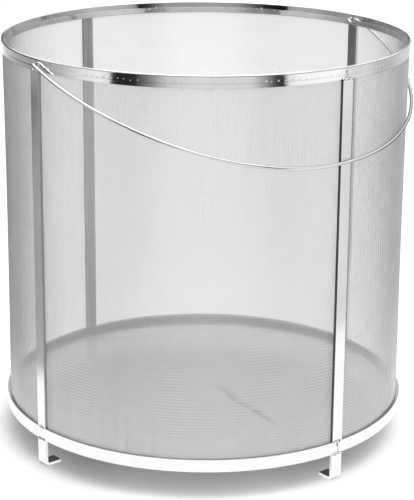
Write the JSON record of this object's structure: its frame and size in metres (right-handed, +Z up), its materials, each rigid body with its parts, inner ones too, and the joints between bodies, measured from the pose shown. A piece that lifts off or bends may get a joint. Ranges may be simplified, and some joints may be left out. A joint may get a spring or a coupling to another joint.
{
  "type": "mesh brew basket",
  "caption": "Round brewing basket of woven wire cloth in a welded flat-bar frame, with rolled rim, bent feet and a swinging wire bail handle.",
  "frame": {"origin": "basket's axis at the surface that the feet stand on", "axes": "+Z up along the basket's axis, X along the bail's hinge axis, the bail resting on the -Y side"},
  "size_m": [0.4112, 0.4095, 0.402],
  "materials": {
    "rim_steel": "polished sheet",
    "bar_steel": "polished flat bar",
    "cloth_steel": "fine plain-woven wire cloth",
    "wire_steel": "bright drawn wire",
    "weld_steel": "rippled weld bead, brushed clean"
  },
  "bodies": {
    "basket": {"rim_band": "rim_steel", "mesh_wall": "cloth_steel", "mesh_wall_seam": "cloth_steel", "mesh_floor": "cloth_steel", "bottom_ring": "bar_steel", "strap_top_welds": "weld_steel", "strap_bottom_welds": "weld_steel", "foot_welds": "weld_steel", "rim_seam_weld": "weld_steel", "ring_seam_weld": "weld_steel", "strap_left": "bar_steel", "foot_left": "bar_steel", "strap_front": "bar_steel", "foot_front": "bar_steel", "strap_right": "bar_steel", "foot_right": "bar_steel", "strap_back": "bar_steel", "foot_back": "bar_steel"},
    "bail": {"bail": "wire_steel"}
  },
  "joints": [
    {"name": "bail_pivot", "type": "hinge", "parent": "basket", "child": "bail", "pos_m": [0, 0, 0.397], "axis": [-1, 0, 0], "range_deg": [0, 223.8]}
  ]
}
